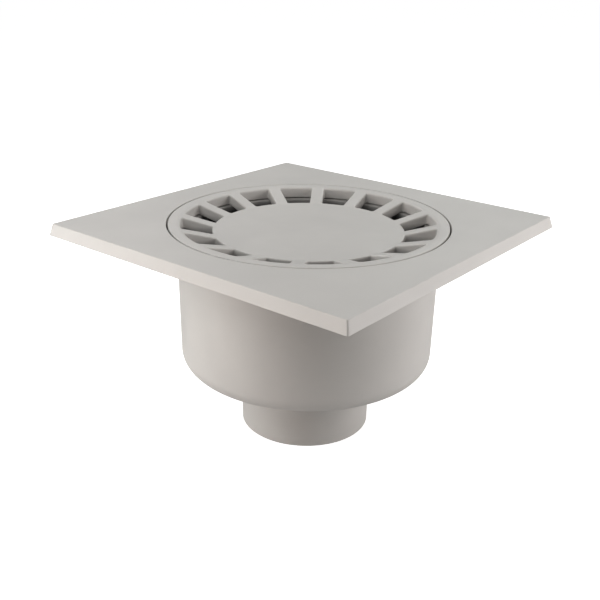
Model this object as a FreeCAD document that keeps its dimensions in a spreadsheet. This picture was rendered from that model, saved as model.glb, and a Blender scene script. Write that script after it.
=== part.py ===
import FreeCAD, Part
import math
import os
import re

import Sketcher
from FreeCAD import Placement, Rotation, Vector

# Gully trap: a floor drain whose bell dips into standing water to keep the drain's air out.
# It is three mouldings, in millimetres: the body that is set in the floor, the round dished grate
# that lies in the body's seat, and the bell that is pushed on under the grate's closed disc.
# The origin is the centre of the outlet's lower end. +Z is up, and the flange's sides lie along X and Y.

# Name, value and meaning of each driving size
SIZES = [
    ("flange_side", 200.0, "square flange, side at the foot of its rim"),
    ("flange_thick", 3.0, "flange plate"),
    ("rim_height", 6.6, "rim round the flange, from the flange's face to the rim's foot"),
    ("rim_flare", 1.7, "how far the rim leans out from top to foot, on each side"),
    ("rim_wall", 2.5, "rim wall, level"),
    ("corner_round", 0.8, "upright corners of the rim"),
    ("seat_depth", 7.2, "from the flange's face down to the ledge that the grate rests on"),
    ("seat_wall", 3.0, "wall round the seat"),
    ("ledge_thick", 3.0, "ledge under the grate"),
    ("bowl_depth", 84.0, "from the flange's face down to the bowl's underside"),
    ("bowl_radius", 73.0, "bowl, outside, under the ledge"),
    ("bowl_draft", 0.8, "how much narrower the bowl's foot is, in radius"),
    ("bowl_wall", 3.0, "bowl wall at its foot; the inside has no draft"),
    ("bowl_floor", 3.0, "bowl floor"),
    ("bowl_foot_round", 9.6, "outside round at the bowl's foot"),
    ("outlet_length", 38.5, "outlet pipe below the bowl"),
    ("outlet_radius", 37.5, "outlet pipe, outside: 75 mm drain pipe"),
    ("outlet_wall", 3.0, "outlet pipe wall"),
    ("standpipe_drop", 23.0, "from the flange's face down to the standpipe's brim"),
    ("gusset_thick", 2.2, "ribs between the flange and the bowl"),
    ("gusset_drop", 21.0, "from the flange's face down to a rib's lowest point"),
    ("gusset_lift", 1.2, "ribs end this far above the rim's foot"),
    ("gusset_knee", 12.0, "width of a rib's sloping part, outside the seat wall"),
    ("corner_reach", 126.0, "the four corner ribs reach this far from the axis"),
    ("grate_gap", 0.9, "gap all round between the grate and its seat"),
    ("grate_radius", 77.55, "grate, outside"),
    ("dish_radius", 72.75, "inside this radius the grate's face slopes down"),
    ("disc_radius", 52.2, "flat disc in the middle of the grate"),
    ("disc_depth", 5.3, "flat disc, below the flange's face"),
    ("disc_thick", 3.0, "flat disc"),
    ("disc_rim_width", 3.2, "stiff rim that hangs round the disc's edge"),
    ("skirt_wall", 2.8, "skirt round the grate that stands on the ledge"),
    ("slot_count", 16, "slots round the disc, with as many ribs between them"),
    ("slot_inner", 53.5, "inner end of the slots"),
    ("slot_outer", 70.8, "outer end of the slots"),
    ("bar_width", 7.5, "parallel bars between the slots"),
    ("bar_depth", 6.0, "depth of the bars, upright"),
    ("socket_radius", 24.0, "ring under the disc that takes the bell, inside"),
    ("socket_wall", 2.4, "ring under the disc"),
    ("socket_height", 4.0, "ring under the disc"),
    ("boss_clearance", 0.1, "between the bell's boss and the ring round it"),
    ("boss_wall", 2.4, "boss on top of the bell"),
    ("boss_headroom", 0.3, "between the boss and the disc above it"),
    ("bell_radius", 50.0, "bell wall, outside"),
    ("bell_wall", 2.0, "bell wall and top"),
    ("bell_shoulder", 2.0, "bevel round the bell's top"),
    ("bell_floor_gap", 8.0, "water way between the bell's lip and the bowl's floor"),
    ("lip_bead", 0.8, "how far the bead on the bell's lip stands out"),
    ("lip_height", 3.0, "bead on the bell's lip"),
]

doc = FreeCAD.newDocument("gully_trap")
sheet = doc.addObject("Spreadsheet::Sheet", "Sizes")
for row, (alias, number, meaning) in enumerate(SIZES, start=1):
    sheet.set(f"A{row}", alias)
    sheet.set(f"B{row}", str(number))
    sheet.setAlias(f"B{row}", alias)
    sheet.set(f"C{row}", meaning)
doc.recompute()

NAMES = {alias for alias, number, meaning in SIZES}

# Levels and radii that several pieces share, worked out from the sizes
FACE = "(outlet_length + bowl_depth)"
LEDGE = f"({FACE} - seat_depth)"
FLOOR = "(outlet_length + bowl_floor)"
SEAT_RADIUS = "(grate_radius + grate_gap)"
SEAT_OUTSIDE = f"({SEAT_RADIUS} + seat_wall)"
DISC = f"({FACE} - disc_depth)"
DISC_UNDERSIDE = f"({DISC} - disc_thick)"
BELL_TOP = f"({DISC_UNDERSIDE} - socket_height)"


def linked(expression):
    """The expression with each size's name pointed at its cell in the sheet."""
    return re.sub(r"[a-z_]+", lambda word: f"Sizes.{word.group()}" if word.group() in NAMES else word.group(),
                  expression)


def value(expression):
    """What the expression comes to now, as a plain number."""
    result = sheet.evalExpression(linked(expression))
    return float(getattr(result, "Value", result))


def origin_feature(body, role):
    """The body's own plane or axis of that role."""
    return next(feature for feature in body.Origin.OriginFeatures if feature.Role == role)


def new_body(name):
    """An empty body whose label names its file."""
    body = doc.addObject("PartDesign::Body", name)
    body.Label = name
    return body


def new_sketch(body, name, plane):
    """An empty sketch on one of the body's own planes."""
    sketch = body.newObject("Sketcher::SketchObject", name)
    sketch.AttachmentSupport = [(origin_feature(body, plane), "")]
    sketch.MapMode = "FlatFace"
    return sketch


def hold(sketch, kind, *where, size):
    """Adds a dimension to the sketch and ties it to an expression."""
    index = sketch.addConstraint(Sketcher.Constraint(kind, *where, value(size)))
    sketch.setExpression(f"Constraints[{index}]", linked(size))


def outline(body, name, corners):
    """A closed outline of straight lines. Each corner is a pair of expressions: out from the axis, and up."""
    sketch = new_sketch(body, name, "XZ_Plane")
    points = [Vector(value(out), value(up), 0) for out, up in corners]
    for index, point in enumerate(points):
        sketch.addGeometry(Part.LineSegment(point, points[(index + 1) % len(points)]), False)
    for index in range(len(points)):
        sketch.addConstraint(Sketcher.Constraint("Coincident", index, 2, (index + 1) % len(points), 1))
    for index, (out, up) in enumerate(corners):
        for kind, size, axis in (("DistanceX", out, -2), ("DistanceY", up, -1)):
            if size == "0":
                sketch.addConstraint(Sketcher.Constraint("PointOnObject", index, 1, axis))
            else:
                hold(sketch, kind, -1, 1, index, 1, size=size)
    return sketch


def square(body, name, side, level):
    """A square round the axis, at a level."""
    sketch = new_sketch(body, name, "XY_Plane")
    sketch.AttachmentOffset = Placement(Vector(0, 0, value(level)), Rotation())
    sketch.setExpression("AttachmentOffset.Base.z", linked(level))
    half = value(side) / 2
    points = [Vector(x * half, y * half, 0) for x, y in ((-1, -1), (1, -1), (1, 1), (-1, 1))]
    for index, point in enumerate(points):
        sketch.addGeometry(Part.LineSegment(point, points[(index + 1) % 4]), False)
    for index in range(4):
        sketch.addConstraint(Sketcher.Constraint("Coincident", index, 2, (index + 1) % 4, 1))
        sketch.addConstraint(Sketcher.Constraint("Vertical" if index % 2 else "Horizontal", index))
    sketch.addConstraint(Sketcher.Constraint("Symmetric", 0, 1, 1, 2, -1, 1))
    hold(sketch, "DistanceX", 0, 1, 0, 2, size=side)
    hold(sketch, "DistanceY", 1, 1, 1, 2, size=side)
    return sketch


def feature(body, kind, name, sign, links=(), **settings):
    """Adds a feature to the body and checks that it adds (+1) or takes away (-1) material."""
    before = body.Shape.Volume if body.Tip else 0.0
    made = body.newObject(f"PartDesign::{kind}", name)
    for setting, content in settings.items():
        setattr(made, setting, content)
    for setting, size in dict(links).items():
        made.setExpression(setting, linked(size))
    body.Tip = made
    doc.recompute()
    if sign * (made.Shape.Volume - before) <= 0:
        raise RuntimeError(f"{body.Label}: {name} changes no material, or the wrong way")
    return made


def turned(body, sketch, name, sign):
    """The sketch turned about the axis, as material or as a hollow."""
    kind = "Revolution" if sign > 0 else "Groove"
    return feature(body, kind, name, sign, Profile=sketch, ReferenceAxis=(sketch, ["V_Axis"]), Angle=360)


def around(body, original, name, count, sign):
    """The feature repeated round the axis."""
    return feature(body, "PolarPattern", name, sign, {"Occurrences": count}, Originals=[original],
                   Axis=(origin_feature(body, "Z_Axis"), [""]), Angle=360)


def rounded(body, name, size, sign, wanted):
    """Rounds each edge of the body's last feature that the test picks."""
    base = body.Tip
    names = [f"Edge{index}" for index, edge in enumerate(base.Shape.Edges, start=1) if wanted(edge)]
    if not names:
        raise RuntimeError(f"{body.Label}: no edge for {name}")
    return feature(body, "Fillet", name, sign, {"Radius": size}, Base=(base, names))


def ring(radius, level):
    """Test for the circle of that radius at that level."""
    wanted_radius = value(radius)
    wanted_level = value(level)

    def test(edge):
        curve = edge.Curve
        return (isinstance(curve, Part.Circle) and abs(curve.Radius - wanted_radius) < 0.001
                and abs(curve.Center.z - wanted_level) < 0.001)

    return test


def trap_body():
    """Square flange with its rim, the seat, the bowl, the outlet and the standpipe, as one moulding."""
    body = new_body("trap_body")
    rim_lean = "atan(rim_flare / rim_height)"

    face = square(body, "flange_face", "flange_side - 2 * rim_flare", FACE)
    feature(body, "Pad", "flange", 1, {"Length": "rim_height", "TaperAngle": rim_lean},
            Profile=face, Reversed=True)
    rounded(body, "flange_corners", "corner_round", -1,
            lambda edge: abs(edge.Vertexes[0].Z - edge.Vertexes[-1].Z) > value("rim_height") / 2)

    foot = square(body, "rim_foot", "flange_side - 2 * rim_wall", f"{FACE} - rim_height")
    feature(body, "Pocket", "rim_hollow", -1,
            {"Length": "rim_height - flange_thick", "TaperAngle": f"-{rim_lean}"}, Profile=foot, Reversed=True)

    outside = outline(body, "bowl_outside", [
        ("0", f"{FACE} - flange_thick / 2"),
        (SEAT_OUTSIDE, f"{FACE} - flange_thick / 2"),
        (SEAT_OUTSIDE, f"{LEDGE} - ledge_thick"),
        ("bowl_radius", f"{LEDGE} - ledge_thick"),
        ("bowl_radius - bowl_draft", "outlet_length"),
        ("outlet_radius", "outlet_length"),
        ("outlet_radius", "0"),
        ("0", "0")])
    turned(body, outside, "bowl", 1)
    rounded(body, "bowl_foot", "bowl_foot_round", -1, ring("bowl_radius - bowl_draft", "outlet_length"))

    for name, reach, turn in (("side_gusset", "flange_side / 2 - rim_flare", 0.0),
                              ("corner_gusset", "corner_reach", 45.0)):
        web = outline(body, f"{name}_web", [
            ("bowl_radius - bowl_wall / 2", f"{FACE} - flange_thick / 2"),
            (reach, f"{FACE} - flange_thick / 2"),
            (reach, f"{FACE} - rim_height + gusset_lift"),
            (f"{SEAT_OUTSIDE} + gusset_knee", f"{FACE} - rim_height + gusset_lift"),
            ("bowl_radius - bowl_wall / 2", f"{FACE} - gusset_drop")])
        web.AttachmentOffset = Placement(Vector(), Rotation(Vector(0, 1, 0), turn))
        rib = feature(body, "Pad", name, 1, {"Length": "gusset_thick"}, Profile=web, Midplane=True)
        around(body, rib, f"{name}s", "4", 1)

    inside = outline(body, "water_way", [
        ("0", FACE),
        (SEAT_RADIUS, FACE),
        (SEAT_RADIUS, LEDGE),
        ("bowl_radius - bowl_draft - bowl_wall", LEDGE),
        ("bowl_radius - bowl_draft - bowl_wall", FLOOR),
        ("outlet_radius", FLOOR),
        ("outlet_radius", f"{FACE} - standpipe_drop"),
        ("outlet_radius - outlet_wall", f"{FACE} - standpipe_drop"),
        ("outlet_radius - outlet_wall", "0"),
        ("0", "0")])
    turned(body, inside, "hollow", -1)
    return body


def grate():
    """Round grate: flat edge, dished ring of bars and slots, and a closed disc with the bell's ring below."""
    body = new_body("grate")
    section = outline(body, "grate_section", [
        ("0", DISC),
        ("disc_radius", DISC),
        ("dish_radius", FACE),
        ("grate_radius", FACE),
        ("grate_radius", LEDGE),
        ("grate_radius - skirt_wall", LEDGE),
        ("grate_radius - skirt_wall", f"{FACE} - bar_depth"),
        ("dish_radius", f"{FACE} - bar_depth"),
        ("disc_radius", f"{DISC} - bar_depth"),
        ("slot_inner - disc_rim_width", f"{DISC} - bar_depth"),
        ("slot_inner - disc_rim_width", DISC_UNDERSIDE),
        ("socket_radius + socket_wall", DISC_UNDERSIDE),
        ("socket_radius + socket_wall", BELL_TOP),
        ("socket_radius", BELL_TOP),
        ("socket_radius", DISC_UNDERSIDE),
        ("0", DISC_UNDERSIDE)])
    turned(body, section, "dish", 1)

    slot = feature(body, "Pocket", "slot", -1, Profile=slot_outline(body), Type="ThroughAll")
    around(body, slot, "slots", "slot_count", -1)
    return body


def slot_outline(body):
    """One slot: arcs at both ends, and sides that run along the bars beside it."""
    sketch = new_sketch(body, "slot_outline", "XY_Plane")
    sketch.AttachmentOffset = Placement(Vector(0, 0, value(FACE)), Rotation())
    sketch.setExpression("AttachmentOffset.Base.z", linked(FACE))
    turn = "180 deg / slot_count"

    def corner(radius, side):
        """Where one side of the slot, 1 or -1, meets the arc of that radius."""
        angle = side * math.radians(value(f"{turn} - asin(bar_width / 2 / {radius})"))
        return Vector(value(radius) * math.cos(angle), value(radius) * math.sin(angle), 0)

    for side in (1, -1):
        sketch.addGeometry(Part.LineSegment(corner("slot_inner", side), corner("slot_outer", side)), False)
    for radius in ("slot_inner", "slot_outer"):
        middle = Vector(value(radius), 0, 0)
        sketch.addGeometry(Part.Arc(corner(radius, -1), middle, corner(radius, 1)), False)
    upper, lower, inner_arc, outer_arc = range(4)
    for line, place, arc, tip in ((upper, 1, inner_arc, 2), (lower, 1, inner_arc, 1),
                                  (upper, 2, outer_arc, 2), (lower, 2, outer_arc, 1)):
        sketch.addConstraint(Sketcher.Constraint("Coincident", line, place, arc, tip))
    for arc, radius in ((inner_arc, "slot_inner"), (outer_arc, "slot_outer")):
        sketch.addConstraint(Sketcher.Constraint("Coincident", arc, 3, -1, 1))
        hold(sketch, "Radius", arc, size=radius)
    for line, angle in ((upper, turn), (lower, f"-{turn}")):
        hold(sketch, "Distance", -1, 1, line, size="bar_width / 2")
        index = sketch.addConstraint(Sketcher.Constraint("Angle", line, math.radians(value(angle))))
        sketch.setExpression(f"Constraints[{index}]", linked(angle))
    return sketch


def bell():
    """Bell: a deep cup, mouth down, with a boss on top that pushes into the ring under the grate."""
    body = new_body("bell")
    lip = f"({FLOOR} + bell_floor_gap)"
    boss_radius = "(socket_radius - boss_clearance)"
    boss_top = f"({DISC_UNDERSIDE} - boss_headroom)"
    section = outline(body, "bell_section", [
        ("0", BELL_TOP),
        (f"{boss_radius} - boss_wall", BELL_TOP),
        (f"{boss_radius} - boss_wall", boss_top),
        (boss_radius, boss_top),
        (boss_radius, BELL_TOP),
        ("bell_radius - bell_shoulder", BELL_TOP),
        ("bell_radius", f"{BELL_TOP} - bell_shoulder"),
        ("bell_radius", f"{lip} + lip_height"),
        ("bell_radius + lip_bead", f"{lip} + lip_height"),
        ("bell_radius + lip_bead", lip),
        ("bell_radius - bell_wall", lip),
        ("bell_radius - bell_wall", f"{BELL_TOP} - bell_wall"),
        ("0", f"{BELL_TOP} - bell_wall")])
    turned(body, section, "cup", 1)
    return body


pieces = [trap_body(), grate(), bell()]
doc.recompute()

for item in doc.Objects:
    if {"Invalid", "Error"} & set(item.State):
        raise RuntimeError(f"{item.Label} failed: {item.State}")
for piece in pieces:
    if piece.Shape.isNull() or not piece.Shape.isValid() or len(piece.Shape.Solids) != 1:
        raise RuntimeError(f"{piece.Label} is not one valid solid")

os.makedirs("parts", exist_ok=True)
for piece in pieces:
    piece.Shape.exportStep(f"parts/{piece.Label}.step")
    print(f"{piece.Label}: {piece.Shape.Volume / 1000:.1f} cm3")
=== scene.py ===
import math

import bmesh
import bpy
from mathutils import Matrix, Vector


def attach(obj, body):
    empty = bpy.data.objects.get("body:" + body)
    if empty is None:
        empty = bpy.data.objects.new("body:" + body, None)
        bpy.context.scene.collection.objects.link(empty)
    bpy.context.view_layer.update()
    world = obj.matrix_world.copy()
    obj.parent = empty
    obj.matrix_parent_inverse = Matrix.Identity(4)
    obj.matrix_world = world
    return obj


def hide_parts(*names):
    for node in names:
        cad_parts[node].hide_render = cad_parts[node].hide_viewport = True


# Gully trap in warm light-grey PVC, photographed from above one corner in a light studio.
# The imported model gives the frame. Each of its three mouldings is modelled again here with the
# rounds that the mould leaves on every edge, and with its own plastic.
# Lengths are in millimetres from the centre of the outlet's lower end, and MM turns them into metres.

MM = 0.001

# Square flange and its leaning rim
FLANGE_HALF = 98.3
RIM_HALF = 100.0
RIM_FOOT = 115.9
RIM_WALL = 2.5
FLANGE_UNDERSIDE = 119.5
FACE = 122.5
UPRIGHT_ROUND = 0.8
SHARPEST_UPRIGHT = 0.25

# Seat, bowl, outlet and standpipe
SEAT = 78.45
SEAT_OUTSIDE = 81.45
LEDGE = 115.3
LEDGE_UNDERSIDE = 112.3
BOWL_TOP = 73.0
BOWL_FOOT = 72.2
BOWL_INSIDE = 69.2
BOWL_UNDERSIDE = 38.5
BOWL_FLOOR = 41.5
BOWL_ROUND = 9.6
HALF_WALL = 1.5
# Level below which the bowl's inside, with what stands in it, is painted in shade
INSIDE_SHADE_TOP = 116.8
PIPE = 37.5
PIPE_BORE = 34.5
STANDPIPE_BRIM = 99.5

# Ribs under the flange, which start a root's depth inside what carries them
RIB_HALF_THICK = 1.1
RIB_FOOT = 117.1
RIB_LOWEST = 101.5
RIB_KNEE = 93.45
SIDE_RIB_REACH = 98.3
CORNER_RIB_REACH = 126.0
RIB_ROOT = 1.5

# Dished grate
GRATE = 77.55
DISH = 72.75
DISC = 52.2
DISC_HALFWAY = 26.0
DISC_LEVEL = 117.2
DISC_UNDERSIDE = 114.2
DISC_RIM_INSIDE = 50.1
SKIRT_INSIDE = 74.75
SOCKET = 24.0
SOCKET_OUTSIDE = 26.4
SOCKET_FOOT = 110.2

# Slots and the bars between them
SLOTS = 16
SLOT_INNER = 53.5
SLOT_OUTER = 70.8
SLOT_CORNER = 1.0
HALF_BAR = 3.75
BAR_DEPTH = 6.0
BRIM = 0.9
BAR_LOWER_EDGE = 0.3

# Bell
BELL = 50.0
BELL_WALL = 2.0
BELL_LIP = 49.5
BELL_BEAD = 50.8
BELL_BEAD_TOP = 52.5
BOSS = 23.9
BOSS_INSIDE = 21.5
BOSS_TOP = 113.9
BELL_STEPS = 192

# Width of the strip that the mesh keeps beside every round, and radius of the fan that closes a round flat
FLANK = 0.5
CENTRE = 4.0

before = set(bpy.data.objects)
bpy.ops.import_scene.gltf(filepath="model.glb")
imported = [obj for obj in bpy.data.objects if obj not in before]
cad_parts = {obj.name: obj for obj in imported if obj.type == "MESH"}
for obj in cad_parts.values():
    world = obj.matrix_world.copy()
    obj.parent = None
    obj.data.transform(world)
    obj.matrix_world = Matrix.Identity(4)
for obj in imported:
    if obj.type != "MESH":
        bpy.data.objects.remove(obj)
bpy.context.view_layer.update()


def new_mesh():
    """An empty mesh whose vertices keep how sharply the surface bends there: 1 on an edge, -1 in a corner."""
    mesh = bmesh.new()
    mesh.verts.layers.float.new("bend")
    return mesh


def row(mesh, places, bends=()):
    """A closed row of vertices, with the bend at each, or flat."""
    bend = mesh.verts.layers.float["bend"]
    vertices = [mesh.verts.new(Vector(place) * MM) for place in places]
    for vertex, amount in zip(vertices, bends):
        vertex[bend] = amount
    return vertices


def band(mesh, first, second):
    """Faces between two closed rows that have as many vertices."""
    for here in range(len(first)):
        there = (here + 1) % len(first)
        mesh.faces.new((first[here], first[there], second[there], second[here]))


def bands(mesh, rows):
    """Faces from each row to the next."""
    for first, second in zip(rows, rows[1:]):
        band(mesh, first, second)


def closed_off(mesh, edge):
    """Faces from a row to a point in its middle."""
    middle = mesh.verts.new(sum((vertex.co for vertex in edge), Vector()) / len(edge))
    for here in range(len(edge)):
        mesh.faces.new((edge[here], edge[(here + 1) % len(edge)], middle))


def softened(section):
    """How far out, how far up, and the bend of points along the section, with its corners rounded.

    A corner is how far out, how far up, and its round. The first and last are dropped: they only say where
    the section comes from and goes to. The section keeps the plastic on its right-hand side. A flat point
    beside each round keeps the bend's wear and painted corner shade off the flat."""
    points = []
    for (out, up, round_), earlier, later in zip(section[1:-1], section, section[2:]):
        corner = Vector((out, up))
        before = Vector(earlier[:2]) - corner
        after = Vector(later[:2]) - corner
        half_angle = before.angle(after) / 2
        reach = round_ / math.tan(half_angle)
        start = corner + before.normalized() * reach
        end = corner + after.normalized() * reach
        inwards = (before.normalized() + after.normalized()).normalized()
        middle = corner + inwards * round_ / math.sin(half_angle)
        steps = 4 if round_ < 1 else 6 if round_ < 4 else 12
        turn = (start - middle).angle_signed(end - middle)
        sharpness = math.copysign(min(1.0, 1 / round_), before.x * after.y - before.y * after.x)
        if before.length > reach + 2.5 * FLANK:
            points.append((*(start + before.normalized() * FLANK), 0.0))
        for step in range(steps + 1):
            place = middle + Matrix.Rotation(-turn * step / steps, 2) @ (start - middle)
            points.append((*place, sharpness * (0.4 + 0.6 * math.sin(math.pi * step / steps))))
        if after.length > reach + 2.5 * FLANK:
            points.append((*(end + after.normalized() * FLANK), 0.0))
    return points


def finished(mesh, name, nodes):
    """The mesh as a smooth piece that stands for its CAD node and rides with it."""
    bmesh.ops.remove_doubles(mesh, verts=mesh.verts, dist=0.0005 * MM)
    bmesh.ops.recalc_face_normals(mesh, faces=mesh.faces)
    for face in mesh.faces:
        face.smooth = True
    data = bpy.data.meshes.new(name)
    mesh.to_mesh(data)
    mesh.free()
    piece = bpy.data.objects.new(name, data)
    bpy.context.scene.collection.objects.link(piece)
    for node in nodes:
        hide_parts(node)
    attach(piece, "root")
    return piece


def even_shading(piece):
    """Lets the wide faces set the normals, so that flats stay flat up to their rounded edges."""
    piece.data.set_sharp_from_angle(angle=math.radians(38))
    weights = piece.modifiers.new("even_shading", "WEIGHTED_NORMAL")
    weights.keep_sharp = True
    weights.mode = "FACE_AREA_WITH_ANGLE"
    weights.weight = 80


# Trap body: rows of vertices that are square on the flange and round on everything else

SIDE_STEPS = 96
CORNER_STEPS = 6


def upright_round(half, level):
    """The round of a square row's corners: widest on the rim's outside, and nearly sharp inside it."""
    outer_face = FLANGE_HALF + (RIM_HALF - FLANGE_HALF) * (FACE - level) / (FACE - RIM_FOOT)
    return max(UPRIGHT_ROUND - (outer_face - half), SHARPEST_UPRIGHT)


def square_row(half, level):
    """A square row with rounded corners."""
    corner = upright_round(half, level)
    places = []
    for quarter in range(4):
        turn = Matrix.Rotation(quarter * math.pi / 2, 3, "Z")
        for step in range(SIDE_STEPS):
            along = (2 * step / SIDE_STEPS - 1) * (half - corner)
            places.append(turn @ Vector((half, along, level)))
        for step in range(CORNER_STEPS):
            angle = math.pi / 2 * step / CORNER_STEPS
            places.append(turn @ Vector((half - corner + corner * math.cos(angle),
                                         half - corner + corner * math.sin(angle), level)))
    return places


def square_bends(half, level, bend):
    """The bend at each vertex of a square row: the section's, or that of the rim's upright edge if more."""
    upright = (upright_round(half, level) - SHARPEST_UPRIGHT) / (UPRIGHT_ROUND - SHARPEST_UPRIGHT)
    return ([bend] * SIDE_STEPS + [max(bend, upright)] * CORNER_STEPS) * 4


COLUMN_ANGLES = [math.atan2(place.y, place.x) for place in square_row(FLANGE_HALF, FACE)]


def round_row(radius, level, angles):
    """A round row, with a vertex at each of the angles."""
    return [(radius * math.cos(angle), radius * math.sin(angle), level) for angle in angles]


def turned(mesh, section, angles):
    """Round rows of vertices at the angles, one for each radius, level and bend of the section."""
    return [row(mesh, round_row(radius, level, angles), [bend] * len(angles))
            for radius, level, bend in section]


def trap_body():
    """Flange, seat, bowl, outlet and standpipe in one closed skin, joined with the ribs under the flange."""
    rim_lean = (RIM_HALF - FLANGE_HALF) / (FACE - RIM_FOOT)
    flange = softened([
        (SEAT_OUTSIDE, FACE, 0.0),
        (FLANGE_HALF, FACE, 0.55),
        (RIM_HALF, RIM_FOOT, 0.3),
        (RIM_HALF - RIM_WALL, RIM_FOOT, 0.3),
        (RIM_HALF - RIM_WALL - rim_lean * (FLANGE_UNDERSIDE - RIM_FOOT), FLANGE_UNDERSIDE, 0.4),
        (SEAT_OUTSIDE, FLANGE_UNDERSIDE, 0.0)])
    bowl = softened([
        (RIM_HALF, FLANGE_UNDERSIDE, 0.0),
        (SEAT_OUTSIDE, FLANGE_UNDERSIDE, 0.5),
        (SEAT_OUTSIDE, LEDGE_UNDERSIDE, 0.5),
        (BOWL_TOP, LEDGE_UNDERSIDE, 0.8),
        (BOWL_FOOT, BOWL_UNDERSIDE, BOWL_ROUND),
        (PIPE, BOWL_UNDERSIDE, 1.2),
        (PIPE, 0.0, 0.5),
        (PIPE_BORE, 0.0, 0.5),
        (PIPE_BORE, STANDPIPE_BRIM, 0.7),
        (PIPE, STANDPIPE_BRIM, 0.7),
        (PIPE, BOWL_FLOOR, 3.0),
        (BOWL_INSIDE, BOWL_FLOOR, 6.6),
        (BOWL_INSIDE, LEDGE, 0.5),
        (SEAT, LEDGE, 0.5),
        (SEAT, FACE, 0.4),
        (RIM_HALF, FACE, 0.0)])
    mesh = new_mesh()
    rows = [row(mesh, square_row(half, level), square_bends(half, level, bend))
            for half, level, bend in flange]
    rows += turned(mesh, bowl, COLUMN_ANGLES)
    bands(mesh, rows + rows[:1])
    piece = finished(mesh, "trap_body_moulding", ["trap_body"])
    joined(piece, ribs())
    even_shading(piece)
    return piece


def ribs():
    """The eight upright ribs, from just inside the bowl's wall to just inside the flange."""
    mesh = new_mesh()
    root = BOWL_TOP - RIB_ROOT
    seat_root = SEAT_OUTSIDE - RIB_ROOT
    ledge = LEDGE_UNDERSIDE + RIB_ROOT
    top = FLANGE_UNDERSIDE + RIB_ROOT
    for count in range(8):
        reach = CORNER_RIB_REACH if count % 2 else SIDE_RIB_REACH
        outline = [(seat_root, top), (reach, top), (reach, RIB_FOOT), (RIB_KNEE, RIB_FOOT),
                   (root, RIB_LOWEST), (root, ledge), (seat_root, ledge)]
        turn = Matrix.Rotation(count * math.pi / 4, 3, "Z")
        near, far = [row(mesh, [turn @ Vector((out, side, up)) for out, up in outline])
                     for side in (-RIB_HALF_THICK, RIB_HALF_THICK)]
        band(mesh, near, far)
        mesh.faces.new(near)
        mesh.faces.new(far)
    bmesh.ops.recalc_face_normals(mesh, faces=mesh.faces)
    data = bpy.data.meshes.new("ribs")
    mesh.to_mesh(data)
    mesh.free()
    return data


def joined(piece, added):
    """Melts the added mesh into the piece."""
    tool = bpy.data.objects.new("added", added)
    bpy.context.scene.collection.objects.link(tool)
    union = piece.modifiers.new("union", "BOOLEAN")
    union.operation = "UNION"
    union.solver = "EXACT"
    union.object = tool
    result = bpy.data.meshes.new_from_object(piece.evaluated_get(bpy.context.evaluated_depsgraph_get()))
    piece.modifiers.clear()
    piece.data = result
    bpy.data.objects.remove(tool)
    for face in piece.data.polygons:
        face.use_smooth = True


# Grate: sixteen equal cells of one slot and half a bar on each side, with rings inside and outside them

HALF_PITCH = math.pi / SLOTS
CELL_OUTER = DISH - 0.45
CELL_INNER = DISC
ARC_STEPS = 10
SIDE_OF_SLOT_STEPS = 8
CORNER_OF_SLOT_STEPS = 6


def dished(x, y, drop=0.0):
    """The place on the grate's face above x and y: flat outside, sloping in the dish, flat on the disc."""
    share = min(max((math.hypot(x, y) - DISC) / (DISH - DISC), 0.0), 1.0)
    return x, y, DISC_LEVEL + (FACE - DISC_LEVEL) * share - drop


def along_bar(from_axis, off_middle):
    """x and y of a place beside the bar above the slot, off_middle from the bar's middle line."""
    return Vector((from_axis * math.cos(HALF_PITCH) + off_middle * math.sin(HALF_PITCH),
                   from_axis * math.sin(HALF_PITCH) - off_middle * math.cos(HALF_PITCH)))


def quarter_loops(outset):
    """Half of a slot's edge, moved outwards by outset, and the half of the cell's edge that goes with it.

    Both run from the middle of the slot's outer end to the middle of its inner end."""
    off_middle = HALF_BAR + SLOT_CORNER
    outer_out = math.sqrt((SLOT_OUTER - SLOT_CORNER) ** 2 - off_middle ** 2)
    inner_out = math.sqrt((SLOT_INNER + SLOT_CORNER) ** 2 - off_middle ** 2)
    outer_middle = along_bar(outer_out, off_middle)
    inner_middle = along_bar(inner_out, off_middle)
    to_bar = Vector((-math.sin(HALF_PITCH), math.cos(HALF_PITCH)))
    outer_angle = math.atan2(outer_middle.y, outer_middle.x)
    inner_angle = math.atan2(inner_middle.y, inner_middle.x)
    slot, cell = [], []

    def add(place, on_cell):
        slot.append(Vector(place))
        cell.append(Vector(on_cell))

    def at(radius, angle):
        return Vector((radius * math.cos(angle), radius * math.sin(angle)))

    for step in range(ARC_STEPS // 2):
        angle = outer_angle * step / (ARC_STEPS // 2)
        add(at(SLOT_OUTER + outset, angle), at(CELL_OUTER, angle))
    half = CORNER_OF_SLOT_STEPS // 2
    for step in range(CORNER_OF_SLOT_STEPS):
        share = step / CORNER_OF_SLOT_STEPS
        heading = outer_middle.normalized().slerp(to_bar, share)
        if step <= half:
            edge = at(CELL_OUTER, outer_angle + (HALF_PITCH - outer_angle) * step / half)
        else:
            edge = along_bar(CELL_OUTER + (outer_out - CELL_OUTER) * (step - half) / half, 0)
        add(outer_middle + heading * (SLOT_CORNER + outset), edge)
    for step in range(SIDE_OF_SLOT_STEPS):
        out = outer_out + (inner_out - outer_out) * step / SIDE_OF_SLOT_STEPS
        add(along_bar(out, HALF_BAR - outset), along_bar(out, 0))
    for step in range(CORNER_OF_SLOT_STEPS):
        share = step / CORNER_OF_SLOT_STEPS
        heading = to_bar.slerp(-inner_middle.normalized(), share)
        if step <= half:
            edge = along_bar(inner_out + (CELL_INNER - inner_out) * step / half, 0)
        else:
            edge = at(CELL_INNER, HALF_PITCH + (inner_angle - HALF_PITCH) * (step - half) / half)
        add(inner_middle + heading * (SLOT_CORNER + outset), edge)
    for step in range(ARC_STEPS // 2 + 1):
        angle = inner_angle * (1 - step / (ARC_STEPS // 2))
        add(at(SLOT_INNER - outset, angle), at(CELL_INNER, angle))
    return slot, cell


def whole_loop(half):
    """The loop that the half and its mirror image make."""
    return half + [Vector((place.x, -place.y)) for place in reversed(half[1:-1])]


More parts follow.
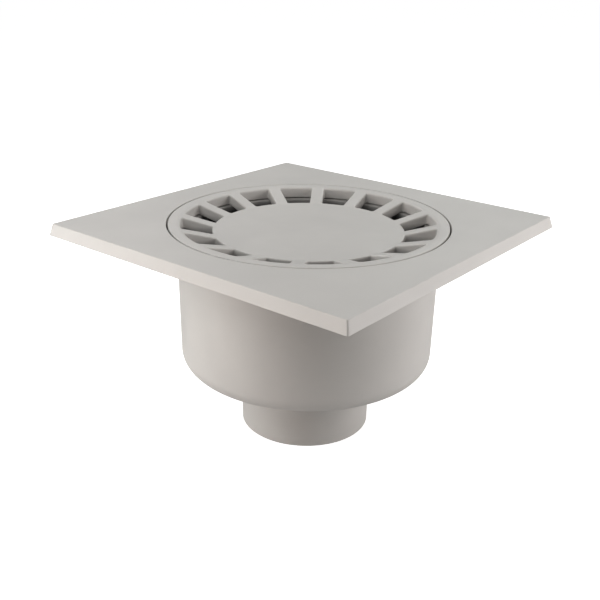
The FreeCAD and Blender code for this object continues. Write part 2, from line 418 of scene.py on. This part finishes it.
def grate():
    """Flat edge, dished ring of bars and slots, closed disc, skirt, and the ring that takes the bell."""
    mesh = new_mesh()
    quarter = [math.pi / 2 * step / 4 for step in range(5)]
    levels = [(BRIM + FLANK / 2, 0.0, 0.0)]
    levels += [(BRIM * (1 - math.sin(angle)), BRIM * (1 - math.cos(angle)), 0.4 + 0.6 * math.sin(2 * angle))
               for angle in quarter]
    levels += [(0.0, BRIM + FLANK, 0.0), (0.0, BAR_DEPTH - BAR_LOWER_EDGE - FLANK, 0.0)]
    levels += [(BAR_LOWER_EDGE * (1 - math.cos(angle)),
                BAR_DEPTH - BAR_LOWER_EDGE * (1 - math.sin(angle)), 1.0)
               for angle in (0, math.pi / 6, math.pi / 3, math.pi / 2)]
    levels += [(BAR_LOWER_EDGE + FLANK, BAR_DEPTH, 0.0)]
    cell_edge = whole_loop(quarter_loops(0.0)[1])
    for count in range(SLOTS):
        turn = Matrix.Rotation(count * 2 * HALF_PITCH, 3, "Z")

        def placed(loop, drop, bend=0.0):
            places = [turn @ Vector(dished(place.x, place.y, drop)) for place in loop]
            return row(mesh, places, [bend] * len(places))

        rows = [placed(cell_edge, 0.0)]
        rows += [placed(whole_loop(quarter_loops(outset)[0]), drop, bend) for outset, drop, bend in levels]
        rows.append(placed(cell_edge, BAR_DEPTH))
        bands(mesh, rows)

    def edge_angles(radius):
        """Angles of the cells' vertices that lie on that radius, all the way round."""
        angles = sorted(math.atan2(place.y, place.x) for place in cell_edge
                        if abs(place.length - radius) < 0.001)
        return [angle + count * 2 * HALF_PITCH for count in range(SLOTS) for angle in angles[:-1]]

    outside = softened([
        (DISH, FACE, 0.0),
        (GRATE, FACE, 0.5),
        (GRATE, LEDGE, 0.3),
        (SKIRT_INSIDE, LEDGE, 0.3),
        (SKIRT_INSIDE, FACE - BAR_DEPTH, 0.6),
        (DISH, FACE - BAR_DEPTH, 0.0)])
    outer = edge_angles(CELL_OUTER)
    fold = dished(CELL_OUTER, 0.0)[2]
    rows = [(CELL_OUTER, fold, 0.0), (DISH, FACE - 0.05, 0.2), (DISH + 0.45, FACE, 0.0), *outside,
            (DISH, FACE - BAR_DEPTH, 0.0), (CELL_OUTER, fold - BAR_DEPTH, 0.0)]
    bands(mesh, turned(mesh, rows, outer))

    inner = edge_angles(CELL_INNER)
    top = [row(mesh, round_row(radius, DISC_LEVEL, inner))
           for radius in (CELL_INNER, DISC - 1.0, DISC_HALFWAY, CENTRE)]
    bands(mesh, top)
    closed_off(mesh, top[-1])
    inside = softened([
        (DISC, DISC_LEVEL - BAR_DEPTH, 0.0),
        (DISC_RIM_INSIDE, DISC_LEVEL - BAR_DEPTH, 0.3),
        (DISC_RIM_INSIDE, DISC_UNDERSIDE, 0.5),
        (SOCKET_OUTSIDE, DISC_UNDERSIDE, 0.5),
        (SOCKET_OUTSIDE, SOCKET_FOOT, 0.3),
        (SOCKET, SOCKET_FOOT, 0.5),
        (SOCKET, DISC_UNDERSIDE, 0.2),
        (CENTRE, DISC_UNDERSIDE, 0.0)])
    inside = [(DISC, DISC_LEVEL - BAR_DEPTH, 0.0), *inside, (CENTRE, DISC_UNDERSIDE, 0.0)]
    below = turned(mesh, inside, inner)
    bands(mesh, below)
    closed_off(mesh, below[-1])
    piece = finished(mesh, "grate_moulding", ["grate"])
    even_shading(piece)
    return piece


def bell():
    """Deep cup, mouth down, with a boss on top that pushes into the ring under the grate."""
    section = softened([
        (CENTRE, SOCKET_FOOT, 0.0),
        (BOSS_INSIDE, SOCKET_FOOT, 0.4),
        (BOSS_INSIDE, BOSS_TOP, 0.4),
        (BOSS, BOSS_TOP, 0.6),
        (BOSS, SOCKET_FOOT, 0.1),
        (BELL, SOCKET_FOOT, 3.0),
        (BELL, BELL_BEAD_TOP, 0.4),
        (BELL_BEAD, BELL_BEAD_TOP, 0.35),
        (BELL_BEAD, BELL_LIP, 0.5),
        (BELL - BELL_WALL, BELL_LIP, 0.5),
        (BELL - BELL_WALL, SOCKET_FOOT - BELL_WALL, 1.5),
        (CENTRE, SOCKET_FOOT - BELL_WALL, 0.0)])
    section = [(CENTRE, SOCKET_FOOT, 0.0), *section, (CENTRE, SOCKET_FOOT - BELL_WALL, 0.0)]
    mesh = new_mesh()
    rows = turned(mesh, section, [2 * math.pi * step / BELL_STEPS for step in range(BELL_STEPS)])
    bands(mesh, rows)
    closed_off(mesh, rows[0])
    closed_off(mesh, rows[-1])
    piece = finished(mesh, "bell_moulding", ["bell"])
    even_shading(piece)
    return piece


# Finishes

# How much paler a rubbed edge is, how much darker the painted shade makes an inside corner and the bowl's
# inside,
# # what rubbing and streaks do to the gloss, and the plastic's pair of tones
RUBBED_TONE = 1.05
CORNER_SHADE_TONE = 0.88
INSIDE_SHADE_TONE = 0.06
RUBBED_GLOSS = 0.04
STREAK_ROUGHNESS = 0.05
STREAK_HEIGHT = 0.002
PVC_IOR = 1.53
GREY = ((0.475, 0.462, 0.446), (0.505, 0.491, 0.473))


def new_group(name, inputs, outputs):
    """An empty shader node group with named inputs, which are numbers with a default, and named outputs."""
    group = bpy.data.node_groups.new(name, "ShaderNodeTree")
    for label, default in inputs:
        socket = group.interface.new_socket(name=label, in_out="INPUT", socket_type="NodeSocketFloat")
        socket.default_value = default
    for label in outputs:
        group.interface.new_socket(name=label, in_out="OUTPUT", socket_type="NodeSocketFloat")
    return group, group.nodes.new("NodeGroupInput"), group.nodes.new("NodeGroupOutput")


def added(tree, kind, links=(), **settings):
    """A new node with its settings made and its numbered or named inputs linked or set."""
    node = tree.nodes.new(kind)
    for setting, content in settings.items():
        setattr(node, setting, content)
    for socket, content in dict(links).items():
        if isinstance(content, bpy.types.NodeSocket):
            tree.links.new(content, node.inputs[socket])
        else:
            node.inputs[socket].default_value = content
    return node


def worked_out(tree, operation, *numbers, clamped=False):
    """The result of a Math node."""
    node = added(tree, "ShaderNodeMath", enumerate(numbers), operation=operation, use_clamp=clamped)
    return node.outputs[0]


def stretched(tree, mask, start, end, low=0.0, high=1.0):
    """The mask with its range from start to end made into low to high, and cut off beyond."""
    return added(tree, "ShaderNodeMapRange", {"Value": mask, "From Min": start, "From Max": end,
                                              "To Min": low, "To Max": high}).outputs["Result"]


def on_object(tree):
    """Where a place is on the object, in metres."""
    return added(tree, "ShaderNodeTexCoord").outputs["Object"]


def noise(group, size, detail):
    """Soft noise on the object, with lumps of about that size in millimetres."""
    scale = worked_out(group, "DIVIDE", 1 / MM, size)
    return added(group, "ShaderNodeTexNoise",
                 {"Vector": on_object(group), "Scale": scale, "Detail": detail}).outputs["Fac"]


def moulded_skin():
    """Moulded plastic's skin: soft clouds where the melt flowed, a gentle ripple, and the tool's fine grain.

    Sizes are in millimetres. The clouds and the grain come out from 0 to 1, and the height in millimetres."""
    group, given, result = new_group(
        "moulded_skin",
        [("Cloud size", 30.0), ("Ripple size", 4.0), ("Ripple height", 0.01), ("Grain size", 0.3),
         ("Grain height", 0.004)],
        ["Clouds", "Grain", "Height"])
    clouds = noise(group, given.outputs["Cloud size"], 3.0)
    ripple = noise(group, given.outputs["Ripple size"], 1.0)
    grain = noise(group, given.outputs["Grain size"], 2.0)
    wide = worked_out(group, "MULTIPLY", ripple, given.outputs["Ripple height"])
    height = worked_out(group, "MULTIPLY_ADD", grain, given.outputs["Grain height"], wide)
    group.links.new(stretched(group, clouds, 0.3, 0.7), result.inputs["Clouds"])
    group.links.new(grain, result.inputs["Grain"])
    group.links.new(height, result.inputs["Height"])
    return group


def drag_marks():
    """Fine upright streaks that a moulding keeps from being pushed out of its mould.

    Width and length are in millimetres. The marks come out from 0 to 1."""
    group, given, result = new_group("drag_marks", [("Width", 0.8), ("Length", 40.0)], ["Marks"])
    across = worked_out(group, "DIVIDE", 1 / MM, given.outputs["Width"])
    along = worked_out(group, "DIVIDE", 1 / MM, given.outputs["Length"])
    squeeze = added(group, "ShaderNodeCombineXYZ", {"X": across, "Y": across, "Z": along}).outputs[0]
    squeezed = added(group, "ShaderNodeVectorMath", {0: on_object(group), 1: squeeze}, operation="MULTIPLY")
    streaks = added(group, "ShaderNodeTexNoise", {"Vector": squeezed.outputs[0], "Scale": 1.0, "Detail": 2.0})
    group.links.new(stretched(group, streaks.outputs["Fac"], 0.35, 0.65), result.inputs["Marks"])
    return group


def rubbed_edges_and_corner_shade():
    """Where handling has burnished the rounds, in patches, and the inside corners, which take a painted
    shade.

    The patch size is in millimetres. Both masks come out from 0 to 1."""
    group, given, result = new_group("rubbed_edges_and_corner_shade", [("Patch size", 9.0)], ["Rubbed", "Corners"])
    bend = added(group, "ShaderNodeAttribute", attribute_name="bend").outputs["Fac"]
    patches = stretched(group, noise(group, given.outputs["Patch size"], 3.0), 0.35, 0.6)
    rubbed = worked_out(group, "MULTIPLY", stretched(group, bend, 0.1, 0.9), patches)
    group.links.new(rubbed, result.inputs["Rubbed"])
    # Inside corners: the mask for a painted shade
    group.links.new(stretched(group, bend, -0.1, -0.9), result.inputs["Corners"])
    return group


def bowl_depth():
    """How deep inside the bowl a place is, which sets the painted shade there: 0 outside it and down to the
    top level, and 1 below the fade.

    The inside ends in the middle of the bowl's wall, which turns in at the round's level and is flat from the
    flat's radius inwards. All lengths are in millimetres."""
    group, given, result = new_group(
        "bowl_depth",
        [("Flat", BOWL_FOOT - BOWL_ROUND), ("Level", BOWL_UNDERSIDE + BOWL_ROUND),
         ("Round", BOWL_ROUND - HALF_WALL), ("Top", INSIDE_SHADE_TOP), ("Fade", 6.0)],
        ["Depth"])
    place = added(group, "ShaderNodeVectorMath", {0: on_object(group), "Scale": 1 / MM}, operation="SCALE")
    parts = added(group, "ShaderNodeSeparateXYZ", {0: place.outputs[0]})
    level = parts.outputs["Z"]

    def length(across, along):
        """Distance that goes so far one way and so far the other."""
        arrow = added(group, "ShaderNodeCombineXYZ", {"X": across, "Y": along}).outputs[0]
        return added(group, "ShaderNodeVectorMath", {0: arrow}, operation="LENGTH").outputs["Value"]

    def past(further, nearer):
        """How far the first is past the second, or 0."""
        return worked_out(group, "MAXIMUM", worked_out(group, "SUBTRACT", further, nearer), 0.0)

    from_axis = length(parts.outputs["X"], parts.outputs["Y"])
    off = length(past(from_axis, given.outputs["Flat"]), past(given.outputs["Level"], level))
    within = worked_out(group, "LESS_THAN", off, given.outputs["Round"])
    down = worked_out(group, "SUBTRACT", given.outputs["Top"], level)
    faded = worked_out(group, "DIVIDE", down, given.outputs["Fade"], clamped=True)
    group.links.new(worked_out(group, "MULTIPLY", within, faded), result.inputs["Depth"])
    return group


def plastic(name, effects, colours, roughness, cloud_size):
    """Satin moulded plastic in a pair of near tones: paler and smoother where it is rubbed, and darkened by
    painted shade in its inside corners and, near-black, inside the bowl."""
    material = bpy.data.materials.new(name)
    material.use_nodes = True
    tree = material.node_tree
    shader = tree.nodes["Principled BSDF"]
    skin, streaks, rubbed_and_shaded, inside = (added(tree, "ShaderNodeGroup", node_tree=effect) for effect in effects)
    skin.inputs["Cloud size"].default_value = cloud_size

    def blended(mask, first, second):
        """Mixes two colours by the mask. The first may be another node's output."""
        mixed = added(tree, "ShaderNodeMix", {"Factor": mask, 7: (*second, 1)}, data_type="RGBA")
        if isinstance(first, bpy.types.NodeSocket):
            tree.links.new(first, mixed.inputs[6])
        else:
            mixed.inputs[6].default_value = (*first, 1)
        return mixed.outputs[2]

    tone = blended(skin.outputs["Clouds"], *colours)
    tone = blended(rubbed_and_shaded.outputs["Rubbed"], tone, [part * RUBBED_TONE for part in colours[1]])
    # Painted shade: inside corners a little darker
    tone = blended(rubbed_and_shaded.outputs["Corners"], tone, [part * CORNER_SHADE_TONE for part in colours[0]])
    # Painted shade: everything inside the bowl goes near-black where little light gets in
    tone = blended(inside.outputs["Depth"], tone, [part * INSIDE_SHADE_TONE for part in colours[0]])
    tree.links.new(tone, shader.inputs["Base Color"])
    gloss = stretched(tree, skin.outputs["Grain"], 0.25, 0.75, *roughness)
    gloss = worked_out(tree, "MULTIPLY_ADD", streaks.outputs["Marks"], STREAK_ROUGHNESS, gloss)
    gloss = worked_out(tree, "MULTIPLY_ADD", rubbed_and_shaded.outputs["Rubbed"], -RUBBED_GLOSS, gloss)
    tree.links.new(gloss, shader.inputs["Roughness"])
    height = worked_out(tree, "MULTIPLY_ADD", streaks.outputs["Marks"], STREAK_HEIGHT, skin.outputs["Height"])
    relief = added(tree, "ShaderNodeBump", {"Height": height, "Distance": MM})
    tree.links.new(relief.outputs["Normal"], shader.inputs["Normal"])
    shader.inputs["IOR"].default_value = PVC_IOR
    return material


def dress(piece, material):
    """Gives the piece its material."""
    piece.data.materials.clear()
    piece.data.materials.append(material)


body = trap_body()
top = grate()
cup = bell()

EFFECTS = (moulded_skin(), drag_marks(), rubbed_edges_and_corner_shade(), bowl_depth())
dress(body, plastic("grey_pvc_body", EFFECTS, GREY, roughness=(0.46, 0.56), cloud_size=34.0))
dress(top, plastic("grey_pvc_grate", EFFECTS, GREY, roughness=(0.46, 0.56), cloud_size=26.0))
dress(cup, plastic("grey_pvc_bell", EFFECTS, GREY, roughness=(0.48, 0.58), cloud_size=28.0))


# Studio: softboxes round a pale table. The camera sees the table and the surroundings washed out to white,
# but neither of them lights the object more than a pale table would. The wash runs from near the object to
# far from it, in metres. The softboxes face the aim.

TABLE_RADIUS = 8000.0
TABLE_GREY = 0.68
WASH_FROM = 0.25
WASH_TO = 1.1
NEAR_WASH = 0.8
FAR_WASH = 1.0
AIM = Vector((0, 0, 0.07))


def pale_table():
    """Wide pale floor, level with the foot of the outlet."""
    mesh = new_mesh()
    edge = row(mesh, round_row(TABLE_RADIUS, 0.0, [2 * math.pi * step / 64 for step in range(64)]))
    closed_off(mesh, edge)
    data = bpy.data.meshes.new("floor")
    mesh.to_mesh(data)
    mesh.free()
    floor = bpy.data.objects.new("floor", data)
    bpy.context.scene.collection.objects.link(floor)
    paint = bpy.data.materials.new("white_paint")
    paint.use_nodes = True
    shader = paint.node_tree.nodes["Principled BSDF"]
    shader.inputs["Base Color"].default_value = (TABLE_GREY, TABLE_GREY, TABLE_GREY, 1)
    shader.inputs["Roughness"].default_value = 0.9
    shader.inputs["Specular IOR Level"].default_value = 0.1
    shader.inputs["Emission Color"].default_value = (1, 1, 1, 1)
    away = added(paint.node_tree, "ShaderNodeVectorMath", {0: on_object(paint.node_tree)},
                 operation="LENGTH").outputs["Value"]
    wash = added(paint.node_tree, "ShaderNodeMapRange",
                 {"Value": away, "From Min": WASH_FROM, "From Max": WASH_TO,
                  "To Min": NEAR_WASH, "To Max": FAR_WASH},
                 interpolation_type="SMOOTHSTEP").outputs["Result"]
    seen = added(paint.node_tree, "ShaderNodeLightPath").outputs["Is Camera Ray"]
    glow = worked_out(paint.node_tree, "MULTIPLY", seen, wash)
    paint.node_tree.links.new(glow, shader.inputs["Emission Strength"])
    dress(floor, paint)


CAMERA_AZIMUTH = -51.369
CAMERA_ELEVATION = 22.231
CAMERA_ROLL = -1.066
CAMERA_OFFSET = (-4.908, -44.408, 474.801)
CAMERA_LENS = 51.342


def camera_turn():
    """Rows are the picture's right, its up, and the way back to the camera."""
    azimuth, elevation, roll = map(math.radians, (CAMERA_AZIMUTH, CAMERA_ELEVATION, CAMERA_ROLL))
    back = Vector((math.sin(azimuth) * math.cos(elevation), -math.cos(azimuth) * math.cos(elevation),
                   math.sin(elevation)))
    right = Vector((math.cos(azimuth), math.sin(azimuth), 0))
    level = Matrix((right, back.cross(right), back))
    return Matrix.Rotation(roll, 3, "Z") @ level


def camera():
    """The photograph's view, with the corner of the flange towards it."""
    lens = bpy.data.cameras.new("camera")
    lens.sensor_width = 36.0
    lens.lens = CAMERA_LENS
    lens.clip_start = 0.01
    lens.clip_end = 100.0
    holder = bpy.data.objects.new("camera", lens)
    turn = camera_turn()
    place = turn.transposed() @ Vector(CAMERA_OFFSET) + Vector((0, 0, FACE))
    holder.matrix_world = Matrix.Translation(place * MM) @ turn.transposed().to_4x4()
    bpy.context.scene.collection.objects.link(holder)
    bpy.context.scene.camera = holder


def softbox(name, azimuth, elevation, distance, size, power, tint):
    """A square soft light that faces the object, azimuth degrees round from the camera's side of it."""
    lamp = bpy.data.lights.new(name, "AREA")
    lamp.size = size
    lamp.energy = power
    lamp.color = tint
    turn, lift = math.radians(CAMERA_AZIMUTH + azimuth), math.radians(elevation)
    back = Vector((math.sin(turn) * math.cos(lift), -math.cos(turn) * math.cos(lift), math.sin(lift)))
    holder = bpy.data.objects.new(name, lamp)
    holder.location = AIM + back * distance
    holder.rotation_euler = back.to_track_quat("Z", "Y").to_euler()
    bpy.context.scene.collection.objects.link(holder)


def surroundings():
    """White to the camera, and no light of their own."""
    world = bpy.data.worlds.new("studio")
    world.use_nodes = True
    light = world.node_tree.nodes["Background"]
    light.inputs["Color"].default_value = (1, 1, 1, 1)
    seen = added(world.node_tree, "ShaderNodeLightPath").outputs["Is Camera Ray"]
    world.node_tree.links.new(seen, light.inputs["Strength"])
    bpy.context.scene.world = world


pale_table()
camera()
softbox("left_softbox", -60, 40, 0.6, 0.3, 1.2, (1.0, 1.0, 0.98))
softbox("right_softbox", 75, 22, 0.6, 0.3, 1.4, (1.0, 0.95, 0.91))
softbox("low_left_softbox", -90, 4, 0.6, 0.3, 0.95, (0.65, 0.92, 1.0))
softbox("low_front_left_softbox", -72, 4, 0.6, 0.3, 1.95, (1.0, 0.83, 0.75))
softbox("low_right_softbox", 90, 4, 0.6, 0.3, 1.35, (1.0, 0.99, 1.0))
softbox("front_softbox", 5, 45, 1.2, 0.6, 2.5, (1.0, 0.98, 0.97))
softbox("back_left_softbox", -150, 45, 0.7, 0.35, 1.64, (1.0, 0.98, 0.98))
softbox("back_right_softbox", 150, 45, 0.7, 0.35, 1.66, (0.95, 1.0, 0.99))
surroundings()
bpy.context.scene.view_settings.view_transform = "Standard"
